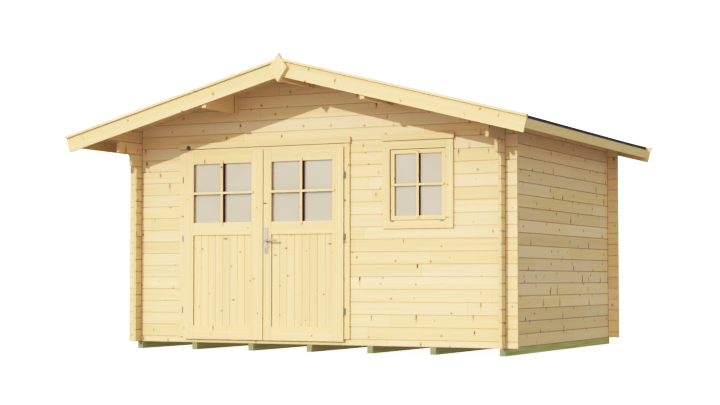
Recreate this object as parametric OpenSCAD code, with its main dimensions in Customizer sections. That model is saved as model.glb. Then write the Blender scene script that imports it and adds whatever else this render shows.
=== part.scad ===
// Garden house of interlocking logs with a double door, one window and a gable roof.
// Sizes are in millimetres. X runs along the front, Y from front to back and Z up.
// The origin lies on the ground, at the middle of the outline of the walls.

/* [Log walls] */
// Outer width of the walls along the front
wall_w = 3800; // [3600:10:4400]
// Outer depth of the walls from front to back
wall_d = 3000; // [2400:10:3800]
// Thickness of a log
log_t = 28; // [24:1:40]
// Height of one course of logs
log_h = 113; // [108:1:122]
// Courses in a side wall
side_courses = 18; // [18:1:20]
// Chamfer along the edges of a log
log_edge = 5; // [2:0.5:8]
// How far the logs of the side walls run past a corner
corner_reach = 95; // [70:1:130]
// How far the logs of the front and rear walls run past a corner
end_reach = 110; // [70:1:130]
// How far the first corbel log runs past the front wall
corbel_reach = 180; // [165:1:260]
// How far the second corbel log runs past the front wall
long_corbel_reach = 390; // [320:5:460]
// Radius of the cove under the corbel logs
cove_r = 40; // [30:1:68]
// Height of the tongue left on the top log of a side wall
tongue_h = 6; // [2:1:12]

/* [Bearers and floor] */
// Bearers under the floor
bearers_n = 7; // [5:1:9]
// Width of a bearer
bearer_w = 53; // [45:1:80]
// Height of a bearer
bearer_h = 67; // [45:1:80]
// How far the outer bearers stand out past the side walls
bearer_out = 0; // [0:1:30]
// How far the bearers run out past the front and rear walls
bearer_end = 10; // [0:1:40]
// Spacing of the bearers before the last one, as a share of an even spacing
bearer_crowd = 0.99; // [0.98:0.002:1]
// Thickness of the floor boards
floor_t = 19; // [16:1:28]
// Gap between the floor and the logs around it
floor_gap = 5; // [2:1:12]

/* [Roof] */
// Pitch of the roof in degrees
roof_pitch = 14.6; // [12:0.1:20]
// Thickness of the roof boards
roof_board_t = 19; // [16:1:28]
// Thickness of the roofing felt
felt_t = 4; // [2:0.5:6]
// Front overhang, from the front wall to the face of the bargeboards
front_overhang = 610; // [520:5:760]
// Room between the rear log ends and the rear bargeboards
rear_clearance = 10; // [2:1:40]
// Eave overhang, from a side wall to the face of the fascia
eave_overhang = 375; // [250:5:450]
// Width of a bargeboard, across its slope
barge_w = 135; // [110:1:170]
// Thickness of a bargeboard
barge_t = 22; // [16:1:30]
// How far a bargeboard runs on past the fascia
barge_run_out = 49; // [30:1:90]
// How far a bargeboard's top edge stands above the underside of the roof boards
barge_rise = 10; // [0:1:18]
// Thickness of the strip that covers the bargeboards
strip_t = 22; // [14:1:28]
// How far the cover strip stands out past the bargeboards
strip_reach = 22; // [10:1:34]
// Height of the fascia along the eaves
fascia_h = 87; // [60:1:120]
// Thickness of the fascia
fascia_t = 19; // [16:1:28]
// Distance of the side purlins from the ridge
purlin_x = 804; // [700:1:1000]
// Width of a purlin
purlin_w = 45; // [38:1:70]
// Height of a side purlin at its middle
purlin_h = 160; // [110:1:180]
// Height of the ridge purlin at its middle
ridge_purlin_h = 168; // [120:1:190]
// Width of the ornament on the ridge
finial_w = 180; // [140:1:220]
// Height of the ornament on the ridge
finial_h = 257; // [200:1:300]
// Thickness of the ornament on the ridge
finial_t = 40; // [34:1:50]
// How far the ornament's middle lies below the point of the bargeboards
finial_drop = 65; // [40:1:80]

/* [Door frame] */
// Middle of the doorway, measured from the middle of the front
door_x = -511; // [-600:1:-480]
// Outer width of the door frame
frame_w = 1820; // [1700:1:1900]
// Height of the door frame's and the window frame's top edge above the foot of the walls
head_top = 1838; // [1800:1:1900]
// How far the frames stand out from the wall
frame_proud = 20; // [12:1:26]
// How far the frames reach into the room past the wall
frame_inside = 12; // [4:1:24]
// How far the jambs lap over the wall beside the doorway
jamb_lap = 22; // [12:1:30]
// How far the heads lap over the wall above the openings
head_lap = 15; // [8:1:20]
// Width of jamb that shows beside a closed leaf
jamb_show = 55; // [45:1:70]
// Height of head that shows above a closed leaf
head_show = 30; // [22:1:40]
// Height of the header boards above the door and the window
header_h = 55; // [40:1:80]
// How far the header boards stand out from the wall
header_proud = 32; // [24:1:40]
// How far the header boards run past the frames on either side
header_reach = 10; // [4:1:30]
// Height of the groove between a header board and the frame below it
header_groove = 6; // [3:1:10]
// Thickness of the sill board
sill_t = 18; // [12:1:24]

/* [Door leaves] */
// Height of a leaf's lower edge above the foot of the walls
leaf_low = 35; // [25:1:45]
// Gap between the two leaves
leaf_gap = 8; // [7:0.5:12]
// Distance of that gap from the middle of the doorway
meet_x = 19; // [0:1:24]
// Thickness of the lip that laps over the frame
lip_t = 15; // [12:1:20]
// How far the lip laps over the frame
lip_lap = 12; // [8:1:16]
// Thickness of the leaf behind its lip
leaf_back_t = 25; // [20:1:28]
// Clearance between a leaf and its frame
leaf_clear = 5; // [5:0.5:7]
// Width of the stile on the hinge side
stile_w = 111; // [95:1:135]
// Distance of the glazing and the panel from the middle of the doorway
meet_stile = 107; // [100:1:125]
// Height of the leaf's bottom rail
bottom_rail_h = 128; // [100:1:150]
// Height of the middle rail
middle_rail_h = 118; // [90:1:140]
// Height of the top rail
top_rail_h = 112; // [90:1:140]
// Height of the glazed opening
glazing_h = 560; // [450:1:640]
// Thickness of a pane
glass_t = 4; // [3:0.5:6]
// Depth of a door's pane behind the face of the leaf
glass_set = 28; // [18:1:32]
// Thickness of the boarded panel
panel_t = 18; // [12:1:20]
// Depth of the boarded panel behind the face of the leaf
panel_set = 15; // [6:1:16]

/* [Hinges and handle] */
// Radius of a hinge barrel
barrel_r = 7; // [6:0.5:8]
// Length of a hinge barrel
barrel_len = 60; // [45:1:80]
// Distance of a hinge's axis from the leaf's edge
hinge_off = 9; // [8.5:0.5:11]
// Height of the lower hinges above the foot of the walls
hinge_low = 309; // [250:1:400]
// Height of the middle hinges above the foot of the walls
hinge_mid = 987; // [800:1:1100]
// Height of the upper hinges above the foot of the walls
hinge_high = 1552; // [1400:1:1650]
// Height of the lever's spindle above the foot of the walls
lever_z = 962; // [900:1:1050]
// Length of the lever's grip
lever_len = 132; // [110:1:150]
// Radius of the lever's grip and neck
lever_r = 9; // [7:0.5:11]
// Distance of the grip's axis from the plate
lever_out = 44; // [36:1:60]
// Width of the handle's plate
plate_w = 40; // [32:1:48]
// Height of the handle's plate
plate_h = 239; // [200:1:260]
// Thickness of the handle's plate
plate_t = 7; // [4:0.5:9]

/* [Window] */
// Middle of the window, measured from the middle of the front
window_x = 1074; // [1000:1:1200]
// Outer width of the window frame
window_w = 688; // [600:1:720]
// Height of the window frame's lower edge above the foot of the walls
window_low = 1054; // [950:1:1150]
// Width of the window frame's boards
window_board = 72; // [55:1:90]
// How far the sash lies back from the face of its frame
sash_set = 14; // [4:1:18]
// Thickness of the sash
sash_t = 32; // [26:1:38]
// Width of the sash's stiles and rails
sash_w = 42; // [32:1:55]
// Depth of the window's pane behind the face of the sash
sash_glass_set = 20; // [12:1:22]

/* [Hidden] */
$fn = 48;
past = 1;
spruce = "#f0dca4";
shaded_spruce = "#d9b878";
green_pine = "#9aa070";
felt_black = "#3a3c40";
pane_grey = "#cfc6ba";
steel = "#b9b9b9";
// Play between the roof boards and what carries them, and between the mitred cover strips
roof_seat = 0.2;
mitre_gap = 1;

half_w = wall_w / 2;
half_d = wall_d / 2;
foot = bearer_h;
front_y = -half_d;
slope = tan(roof_pitch);
eave_z = foot + side_courses * log_h + tongue_h;
ridge_z = roof_under(0);
eave_x = half_w + eave_overhang;
barge_end = eave_x + barge_run_out;
barge_apex = ridge_z + plumb(barge_rise);
front_barge_y = front_y - front_overhang;
roof_front = front_barge_y + barge_t;
roof_back = half_d + corner_reach + rear_clearance;
rear_barge_y = roof_back + barge_t;
gable_courses = ceil((ridge_z - foot) / log_h) + 1;

head_z = foot + head_top;
opening_top = head_z - head_lap;
base_top = course_z(1);
frame_face = front_y - frame_proud;
frame_back = front_y + log_t + frame_inside;
door_left = door_x - frame_w / 2;
door_right = door_x + frame_w / 2;
jamb_w = jamb_show + lip_lap;
head_low = head_z - head_show - lip_lap;
sill_top = base_top + sill_t;

leaf_w = frame_w / 2 - jamb_show - leaf_gap / 2;
leaf_edge = frame_w / 2 - jamb_show;
lip_back = frame_face - leaf_clear;
leaf_face = lip_back - lip_t;
leaf_back = lip_back + leaf_back_t;
leaf_z0 = foot + leaf_low;
leaf_z1 = head_z - head_show;
glazing_x0 = meet_stile;
glazing_x1 = leaf_edge - stile_w;
glazing_z1 = leaf_z1 - top_rail_h;
glazing_z0 = glazing_z1 - glazing_h;
panel_z1 = glazing_z0 - middle_rail_h;
panel_z0 = leaf_z0 + bottom_rail_h;

hinge_heights = [hinge_low, hinge_mid, hinge_high];
hinge_x = leaf_edge + hinge_off;
hinge_y = leaf_face + barrel_r;
hinge_pin_r = barrel_r * 0.45;
hinge_play = 0.3;
hinge_arm = barrel_len / 3;
spindle_r = 4.5;
spindle_hole_r = 8;
neck_play = 0.5;
lever_x = meet_x + leaf_gap / 2 + 0.75 * plate_w;

window_z0 = foot + window_low;
window_hole_x = window_w / 2 - jamb_lap;
window_hole_z = window_z0 + jamb_lap;
sash_half = window_w / 2 - window_board;
sash_z0 = window_z0 + window_board;
sash_z1 = head_z - window_board;
sash_face = frame_face + sash_set;

// Height that a thickness across the slope takes up when measured plumb
function plumb(t) = t / cos(roof_pitch);

// Height of the underside of the roof boards at a distance from the ridge
function roof_under(x) = eave_z + (half_w - abs(x)) * slope;

// Lower edge of a course in the front and rear walls, which start with half a log
function course_z(k) = foot + max(0, k - 0.5) * log_h;

// Chamfer of a log, kept small where an opening leaves only a strip of it
function edge_of(z0, z1) = min(log_edge, (z1 - z0) / 3);

// Section of one log, square where low or top is zero and chamfered elsewhere
function log_section(a, z0, z1, low, top) = concat(
    low > 0 ? [[a, z0 + low], [a + low, z0], [a + log_t - low, z0], [a + log_t, z0 + low]]
            : [[a, z0], [a + log_t, z0]],
    top > 0 ? [[a + log_t, z1 - top], [a + log_t - top, z1], [a + top, z1], [a, z1 - top]]
            : [[a + log_t, z1], [a, z1]]);

// How far a side wall's log runs past the front wall
function front_reach(i) =
    i == side_courses - 1 ? front_overhang - barge_t
    : i == side_courses - 2 ? long_corbel_reach
    : i == side_courses - 3 ? corbel_reach
    : corner_reach;

module along_x(x0, x1) {
    translate([x0, 0, 0]) rotate([90, 0, 90]) linear_extrude(x1 - x0) children();
}

module along_y(y0, y1) {
    translate([0, y1, 0]) rotate([90, 0, 0]) linear_extrude(y1 - y0) children();
}

module block(x0, x1, y0, y1, z0, z1) {
    translate([x0, y0, z0]) cube([x1 - x0, y1 - y0, z1 - z0]);
}

// Draws its children, which are made for the right, on the left
module on_left() {
    mirror([1, 0, 0]) children();
}

// Draws its children, which are made for the front, at the rear
module at_rear() {
    mirror([0, 1, 0]) children();
}

// Room taken out of a right-hand wall where the front and rear logs cross it
module side_notches(first, last) {
    for (k = [first : last])
        for (y = [-half_d, half_d - log_t])
            translate([half_w - log_t - past, y, foot + (k - 0.25) * log_h])
                cube([log_t + 2 * past, log_t, log_h / 2]);
}

// Room taken out of a front wall where the logs of one side wall cross it
module front_notches(x) {
    for (k = [0 : side_courses - 1])
        translate([x, front_y - past, foot + (k + 0.25) * log_h])
            cube([log_t, log_t + 2 * past, log_h / 2]);
}

module right_notches() {
    front_notches(half_w - log_t);
}

module left_notches() {
    front_notches(-half_w);
}

// One log of the right-hand wall, with its top cut to the roof where it is the last
module side_log(i, reach) {
    z0 = foot + i * log_h;
    z1 = z0 + log_h;
    inner = half_w - log_t;
    along_y(front_y - reach, half_d + corner_reach)
        if (i == side_courses - 1)
            polygon([[inner, z0 + log_edge], [inner + log_edge, z0], [half_w - log_edge, z0],
                [half_w, z0 + log_edge], [half_w, roof_under(half_w)], [inner, roof_under(inner)]]);
        else
            polygon(log_section(inner, z0, z1, log_edge, log_edge));
}

// One log whose front end is hollowed into a cove under the log above it
module coved_log(i) {
    z0 = foot + i * log_h;
    cove_y = front_y - front_reach(i) - cove_r;
    cove_z = z0 + log_h - cove_r;
    difference() {
        side_log(i, front_reach(i) + cove_r);
        block(half_w - log_t - past, half_w + past, cove_y - past, cove_y + cove_r, z0 - past, cove_z);
        translate([half_w - log_t - past, cove_y, cove_z])
            rotate([0, 90, 0]) cylinder(r = cove_r, h = log_t + 2 * past);
    }
}

module side_wall() {
    coved = side_courses - 4;
    difference() {
        union() {
            for (i = [0 : coved - 1]) side_log(i, corner_reach);
            coved_log(coved);
        }
        side_notches(0, side_courses - 3);
    }
}

module corbel_logs() {
    coved = side_courses - 3;
    difference() {
        union() {
            coved_log(coved);
            for (i = [coved + 1 : side_courses - 1]) side_log(i, front_reach(i));
        }
        side_notches(coved, side_courses);
    }
}

// A stretch of the front wall's courses between two heights
module front_courses(x0, x1, z_low, z_high) {
    for (k = [0 : gable_courses]) {
        z0 = max(course_z(k), z_low);
        z1 = min(course_z(k + 1), z_high);
        if (z1 - z0 > past) {
            low = z0 > course_z(k) ? 0 : edge_of(z0, z1);
            top = z1 < course_z(k + 1) ? 0 : edge_of(z0, z1);
            along_x(x0, x1) polygon(log_section(front_y, z0, z1, low, top));
        }
    }
}

// The space under the roof boards
module under_roof(y0, y1) {
    reach = half_w + end_reach + past;
    along_y(y0, y1)
        polygon([[-reach, 0], [reach, 0], [reach, roof_under(reach)], [0, ridge_z],
            [-reach, roof_under(reach)]]);
}

module gable() {
    reach = half_w + end_reach;
    difference() {
        intersection() {
            front_courses(-reach, reach, opening_top, ridge_z + log_h);
            under_roof(front_y - past, front_y + log_t + past);
        }
        left_notches();
        right_notches();
        purlin_space(0, ridge_purlin_h);
        purlin_space(purlin_x, purlin_h);
        on_left() purlin_space(purlin_x, purlin_h);
    }
}

// Space of a purlin where it passes through a gable
module purlin_space(x, height) {
    block(x - purlin_w / 2, x + purlin_w / 2, front_y - past, front_y + log_t + past,
        roof_under(x) - height, ridge_z + past);
}

// A purlin that fills the roof's underside
module purlin(x, height) {
    low = roof_under(x) - height;
    x0 = x - purlin_w / 2;
    x1 = x + purlin_w / 2;
    top = x == 0 ? [[x1, roof_under(x1)], [0, ridge_z], [x0, roof_under(x0)]]
                 : [[x1, roof_under(x1)], [x0, roof_under(x0)]];
    along_y(roof_front, roof_back) polygon(concat([[x0, low], [x1, low]], top));
}

module right_roof_slab() {
    low = roof_seat;
    high = roof_seat + roof_board_t;
    along_y(roof_front, roof_back)
        polygon([[0, ridge_z + plumb(low)], [eave_x, roof_under(eave_x) + plumb(low)],
            [eave_x, roof_under(eave_x) + plumb(high)], [0, ridge_z + plumb(high)]]);
}

// Felt on the right slope, turned down over the ends of the roof boards
module right_felt() {
    low = roof_seat + roof_board_t;
    top = low + felt_t;
    end = eave_x + felt_t;
    along_y(roof_front, roof_back)
        polygon([[0, ridge_z + plumb(low)], [eave_x, roof_under(eave_x) + plumb(low)],
            [eave_x, roof_under(eave_x)], [end, roof_under(eave_x)],
            [end, roof_under(end) + plumb(top)], [0, ridge_z + plumb(top)]]);
}

// A slope's board between two heights across the slope, with its end cut square
module barge_outline(low, high, start = 0) {
    across = [sin(roof_pitch), cos(roof_pitch)];
    tip = [barge_end, barge_apex - barge_end * slope];
    peak = barge_apex - start * slope;
    polygon([[start, peak + plumb(low)], tip + low * across, tip + high * across,
        [start, peak + plumb(high)]]);
}

// Cover strips of both slopes, mitred at the ridge
module strip_outlines() {
    barge_outline(0, strip_t, mitre_gap / 2);
    mirror([1, 0]) barge_outline(0, strip_t, mitre_gap / 2);
}

module front_right_barge() {
    along_y(front_barge_y, roof_front) barge_outline(-barge_w, 0);
}

module rear_right_barge() {
    along_y(roof_back, rear_barge_y) barge_outline(-barge_w, 0);
}

module right_fascia_board() {
    inner = eave_x - fascia_t;
    low = roof_under(eave_x) - fascia_h;
    along_y(roof_front, roof_back)
        polygon([[inner, low], [eave_x, low], [eave_x, roof_under(eave_x)], [inner, roof_under(inner)]]);
}

module finial_outline() {
    middle = barge_apex - finial_drop;
    polygon([[0, middle - finial_h / 2], [finial_w / 2, middle], [0, middle + finial_h / 2],
        [-finial_w / 2, middle]]);
}

// Jamb on the right of the doorway, drawn about the middle of the doorway
module right_jamb() {
    outer = frame_w / 2;
    inner = outer - jamb_w;
    block(inner, outer, frame_face, front_y, base_top, head_low);
    block(inner, outer - jamb_lap, front_y - past, frame_back, base_top, head_low);
}

// Header board above a frame whose half width is given, with a groove under it
module header(x) {
    low = head_z + header_groove;
    block(-x, x, front_y - frame_proud / 3, front_y, head_z - past, low + past);
    block(-x - header_reach, x + header_reach, front_y - header_proud, front_y, low, low + header_h);
}

// Frame of a right-hand leaf from its meeting edge, drawn about the middle of the doorway
module leaf_frame(meet) {
    body_edge = leaf_edge - lip_lap - leaf_clear;
    difference() {
        union() {
            block(meet, leaf_edge, leaf_face, lip_back, leaf_z0, leaf_z1);
            block(meet, body_edge, lip_back - past, leaf_back, sill_top + leaf_clear,
                head_low - leaf_clear);
        }
        block(glazing_x0, glazing_x1, leaf_face - past, leaf_back + past, glazing_z0, glazing_z1);
        block(glazing_x0, glazing_x1, leaf_face - past, leaf_back + past, panel_z0, panel_z1);
    }
}

module leaf_panel() {
    block(glazing_x0, glazing_x1, leaf_face + panel_set, leaf_face + panel_set + panel_t,
        panel_z0, panel_z1);
}

module leaf_glass() {
    block(glazing_x0, glazing_x1, leaf_face + glass_set, leaf_face + glass_set + glass_t,
        glazing_z0, glazing_z1);
}

// Upper halves of a right-hand leaf's hinges, which turn with the leaf
module leaf_hinges() {
    for (h = hinge_heights)
        translate([hinge_x, hinge_y, foot + h]) {
            difference() {
                cylinder(r = barrel_r, h = barrel_len / 2);
                translate([0, 0, -past])
                    cylinder(r = hinge_pin_r + hinge_play, h = barrel_len / 2 - barrel_r + past);
            }
            difference() {
                translate([-hinge_off, -hinge_pin_r, (barrel_len / 2 - hinge_arm) / 2])
                    cube([hinge_off, 2 * hinge_pin_r, hinge_arm]);
                cylinder(r = barrel_r - hinge_play, h = barrel_len / 2);
            }
        }
}

// Lower halves of the right-hand hinges with their pins, fixed to the jamb
module jamb_hinges() {
    pin_len = barrel_len / 2 - barrel_r - hinge_play;
    for (h = hinge_heights)
        translate([hinge_x, hinge_y, foot + h]) {
            translate([0, 0, -barrel_len / 2]) cylinder(r = barrel_r, h = barrel_len / 2 - hinge_play);
            translate([0, 0, -barrel_r]) cylinder(r = hinge_pin_r, h = barrel_r + pin_len);
            translate([-hinge_pin_r, 0, -barrel_len / 2 + (barrel_len / 2 - hinge_arm) / 2])
                cube([2 * hinge_pin_r, frame_face - hinge_y, hinge_arm]);
        }
}

module doorway() {
    translate([door_x, 0, 0]) children();
}

module left_half() {
    doorway() on_left() children();
}

// Outline of the handle's plate, straight at the top and rounded below
module plate_outline() {
    corner = plate_w / 4;
    translate([-plate_w / 2, corner - plate_h / 2]) square([plate_w, plate_h - corner]);
    translate([corner - plate_w / 2, -plate_h / 2]) square([plate_w - 2 * corner, plate_h]);
    for (x = [-1, 1])
        translate([x * (plate_w / 2 - corner), corner - plate_h / 2]) circle(corner);
}

// Lever on one face of the leaf, from the spindle out along -Y and over to the hinge side
module lever_side() {
    rotate([90, 0, 0]) cylinder(r = lever_r, h = lever_out);
    translate([0, -lever_out, 0]) sphere(lever_r);
    translate([0, -lever_out, 0]) rotate([0, 90, 0]) cylinder(r = lever_r, h = lever_len);
    translate([lever_len, -lever_out, 0]) sphere(lever_r);
}

module bearers() {
    left = -half_w - bearer_out;
    span = wall_w + 2 * bearer_out - bearer_w;
    color(green_pine)
        for (i = [0 : bearers_n - 1])
            translate([left + span * i / (bearers_n - 1) * (i == bearers_n - 1 ? 1 : bearer_crowd),
                -half_d - bearer_end, 0])
                cube([bearer_w, wall_d + 2 * bearer_end, bearer_h]);
}

module floor_boards() {
    x = half_w - log_t - floor_gap;
    y = half_d - log_t - floor_gap;
    color(spruce) block(-x, x, -y, y, foot, foot + floor_t);
}

module left_wall() {
    color(spruce) on_left() side_wall();
}

module left_corbel_logs() {
    color(spruce) on_left() corbel_logs();
}

module right_wall() {
    color(shaded_spruce) side_wall();
}

module right_corbel_logs() {
    color(shaded_spruce) corbel_logs();
}

module rear_wall() {
    reach = half_w + end_reach;
    color(shaded_spruce)
        at_rear()
            difference() {
                front_courses(-reach, reach, foot, opening_top);
                left_notches();
                right_notches();
            }
}

module rear_gable() {
    color(shaded_spruce) at_rear() gable();
}

module front_base_log() {
    reach = half_w + end_reach;
    color(spruce)
        difference() {
            front_courses(-reach, reach, foot, base_top);
            left_notches();
            right_notches();
        }
}

module front_wall_left() {
    color(spruce)
        difference() {
            front_courses(-half_w - end_reach, door_left + jamb_lap, base_top, opening_top);
            left_notches();
        }
}

module front_wall_middle() {
    color(spruce)
        front_courses(door_right - jamb_lap, window_x - window_hole_x, base_top, opening_top);
}

module front_wall_under_window() {
    color(spruce)
        front_courses(window_x - window_hole_x, window_x + window_hole_x, base_top, window_hole_z);
}

module front_wall_right() {
    color(spruce)
        difference() {
            front_courses(window_x + window_hole_x, half_w + end_reach, base_top, opening_top);
            right_notches();
        }
}

module front_gable() {
    color(spruce) gable();
}

module ridge_purlin() {
    color(spruce) purlin(0, ridge_purlin_h);
}

module left_purlin() {
    color(spruce) on_left() purlin(purlin_x, purlin_h);
}

module right_purlin() {
    color(spruce) purlin(purlin_x, purlin_h);
}

module left_roof_boards() {
    color(shaded_spruce) on_left() right_roof_slab();
}

module right_roof_boards() {
    color(shaded_spruce) right_roof_slab();
}

module left_roof_felt() {
    color(felt_black) on_left() right_felt();
}

module right_roof_felt() {
    color(felt_black) right_felt();
}

module front_left_bargeboard() {
    color(spruce) on_left() front_right_barge();
}

module front_right_bargeboard() {
    color(spruce) front_right_barge();
}

module rear_left_bargeboard() {
    color(spruce) on_left() rear_right_barge();
}

module rear_right_bargeboard() {
    color(spruce) rear_right_barge();
}

module front_cover_strip() {
    color(spruce)
        difference() {
            along_y(front_barge_y - strip_reach, roof_front) strip_outlines();
            along_y(front_barge_y - strip_reach - past, front_barge_y) finial_outline();
        }
}

module rear_cover_strip() {
    color(spruce) along_y(roof_back, rear_barge_y + strip_reach) strip_outlines();
}

module left_fascia() {
    color(spruce) on_left() right_fascia_board();
}

module right_fascia() {
    color(shaded_spruce) right_fascia_board();
}

module ridge_finial() {
    color(spruce) along_y(front_barge_y - finial_t, front_barge_y) finial_outline();
}

module door_left_jamb() {
    color(spruce) left_half() right_jamb();
}

module door_right_jamb() {
    color(spruce) doorway() right_jamb();
}

module door_head() {
    x = frame_w / 2;
    color(spruce)
        doorway() {
            block(-x, x, frame_face, front_y, head_low, head_z);
            block(jamb_lap - x, x - jamb_lap, front_y - past, frame_back, head_low, opening_top);
            header(x);
        }
}

module door_sill() {
    x = frame_w / 2 - jamb_w;
    color(spruce) doorway() block(-x, x, front_y, frame_back, base_top, sill_top);
}

module frame_hinges() {
    color(steel) {
        doorway() jamb_hinges();
        left_half() jamb_hinges();
    }
}

module window_frame() {
    x = window_w / 2;
    color(spruce)
        translate([window_x, 0, 0])
            difference() {
                union() {
                    block(-x, x, frame_face, front_y, window_z0, head_z);
                    block(-window_hole_x, window_hole_x, front_y - past, frame_back, window_hole_z,
                        opening_top);
                    header(x);
                }
                block(-sash_half, sash_half, frame_face - past, frame_back + past, sash_z0, sash_z1);
            }
}

module window_sash() {
    x = sash_half - sash_w;
    color(spruce)
        translate([window_x, 0, 0])
            difference() {
                block(-sash_half, sash_half, sash_face, sash_face + sash_t, sash_z0, sash_z1);
                block(-x, x, sash_face - past, sash_face + sash_t + past, sash_z0 + sash_w,
                    sash_z1 - sash_w);
            }
}

module window_glass() {
    x = sash_half - sash_w;
    pane_face = sash_face + sash_glass_set;
    color(pane_grey)
        translate([window_x, 0, 0])
            block(-x, x, pane_face, pane_face + glass_t, sash_z0 + sash_w, sash_z1 - sash_w);
}

module left_leaf_frame() {
    color(spruce) left_half() leaf_frame(leaf_gap / 2 - meet_x);
}

module left_leaf_panel() {
    color(spruce) left_half() leaf_panel();
}

module left_leaf_glass() {
    color(pane_grey) left_half() leaf_glass();
}

module left_leaf_hinges() {
    color(steel) left_half() leaf_hinges();
}

module right_leaf_frame() {
    color(spruce)
        doorway()
            difference() {
                leaf_frame(leaf_gap / 2 + meet_x);
                translate([lever_x, leaf_face - past, foot + lever_z])
                    rotate([-90, 0, 0]) cylinder(r = spindle_hole_r, h = lip_t + leaf_back_t + 2 * past);
            }
}

module right_leaf_panel() {
    color(spruce) doorway() leaf_panel();
}

module right_leaf_glass() {
    color(pane_grey) doorway() leaf_glass();
}

module right_leaf_hinges() {
    color(steel) doorway() leaf_hinges();
}

module handle_plates() {
    color(steel)
        doorway()
            for (y = [leaf_face - plate_t, leaf_back])
                translate([lever_x, y, foot + lever_z])
                    difference() {
                        translate([0, plate_t, 0])
                            rotate([90, 0, 0]) linear_extrude(plate_t) plate_outline();
                        translate([0, -past, 0])
                            rotate([-90, 0, 0]) cylinder(r = lever_r + neck_play, h = plate_t + 2 * past);
                    }
}

module lever_handle() {
    leaf_t = lip_t + leaf_back_t;
    color(steel)
        doorway()
            translate([lever_x, leaf_face, foot + lever_z]) {
                translate([0, -plate_t, 0]) lever_side();
                translate([0, -plate_t, 0])
                    rotate([-90, 0, 0]) cylinder(r = spindle_r, h = leaf_t + 2 * plate_t);
                translate([0, leaf_t + plate_t, 0]) mirror([0, 1, 0]) lever_side();
            }
}

bearers();
floor_boards();  // floor
left_wall();
left_corbel_logs();
right_wall();
right_corbel_logs();
rear_wall();
rear_gable();
front_base_log();
front_wall_left();
front_wall_middle();
front_wall_under_window();
front_wall_right();
front_gable();
ridge_purlin();
left_purlin();
right_purlin();
left_roof_boards();
right_roof_boards();
left_roof_felt();
right_roof_felt();
front_left_bargeboard();
front_right_bargeboard();
rear_left_bargeboard();
rear_right_bargeboard();
front_cover_strip();
rear_cover_strip();
left_fascia();
right_fascia();
ridge_finial();
door_left_jamb();
door_right_jamb();
door_head();
door_sill();
frame_hinges();
window_frame();
window_sash();
window_glass();
left_leaf_frame();
left_leaf_panel();
left_leaf_glass();
left_leaf_hinges();
right_leaf_frame();
right_leaf_panel();
right_leaf_glass();
right_leaf_hinges();
handle_plates();
lever_handle();
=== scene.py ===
import math

import bmesh
import bpy
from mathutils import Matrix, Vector


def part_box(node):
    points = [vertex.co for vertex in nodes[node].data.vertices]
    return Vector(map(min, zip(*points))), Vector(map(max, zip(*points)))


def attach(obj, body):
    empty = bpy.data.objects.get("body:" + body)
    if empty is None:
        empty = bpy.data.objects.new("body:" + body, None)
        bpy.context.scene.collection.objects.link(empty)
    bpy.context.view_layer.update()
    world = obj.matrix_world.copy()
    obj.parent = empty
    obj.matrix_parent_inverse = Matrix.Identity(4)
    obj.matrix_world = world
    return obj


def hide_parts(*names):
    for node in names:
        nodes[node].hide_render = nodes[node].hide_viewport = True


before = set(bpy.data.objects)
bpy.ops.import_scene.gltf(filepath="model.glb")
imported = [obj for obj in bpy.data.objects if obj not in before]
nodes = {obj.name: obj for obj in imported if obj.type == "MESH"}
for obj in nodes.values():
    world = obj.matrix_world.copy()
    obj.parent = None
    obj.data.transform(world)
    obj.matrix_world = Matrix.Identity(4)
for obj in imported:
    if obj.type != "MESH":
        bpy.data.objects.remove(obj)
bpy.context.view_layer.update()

# Sizes that the pieces share with the construction, in metres
MM = 0.001
LOG_H = 113 * MM
PITCH = math.radians(14.6)
ROOF_BOARD_T = 19 * MM
# Numbers of the axes, and the way up
X, Y, Z = range(3)
UP = Vector((0, 0, 1))


def middle(node):
    """Middle of a node's box."""
    low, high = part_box(node)
    return [(a + b) / 2 for a, b in zip(low, high)]


def linear(colour):
    """Turns an sRGB hex colour into the linear values that the shaders take."""
    parts = [int(colour[i:i + 2], 16) / 255 for i in (1, 3, 5)]
    return tuple(c / 12.92 if c <= 0.04045 else ((c + 0.055) / 1.055) ** 2.4 for c in parts) + (1,)


def stretch(grain, long, wide):
    """Scale of a pattern that is drawn out along one axis, from its length and its width."""
    return [1 / (long if axis == grain else wide) for axis in (X, Y, Z)]


def add(tree, kind, inputs, **settings):
    """Adds a node with its settings, and sets or links its inputs."""
    node = tree.nodes.new("ShaderNode" + kind)
    for name, value in settings.items():
        setattr(node, name, value)
    for key, value in inputs.items():
        if isinstance(value, bpy.types.NodeSocket):
            tree.links.new(value, node.inputs[key])
        else:
            node.inputs[key].default_value = value
    return node


def new_material(name):
    """An empty material and its tree of nodes."""
    made = bpy.data.materials.new(name)
    made.use_nodes = True
    made.node_tree.nodes.clear()
    return made, made.node_tree


def finish(tree, surface, height=None, strength=0, depth=0):
    """Ends a material's nodes in its shader, with bump where a height is given."""
    if height is not None:
        bump = add(tree, "Bump", {"Height": height, "Strength": strength, "Distance": depth})
        surface = surface | {"Normal": bump.outputs[0]}
    shader = add(tree, "BsdfPrincipled", surface)
    add(tree, "OutputMaterial", {"Surface": shader.outputs[0]})


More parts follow.
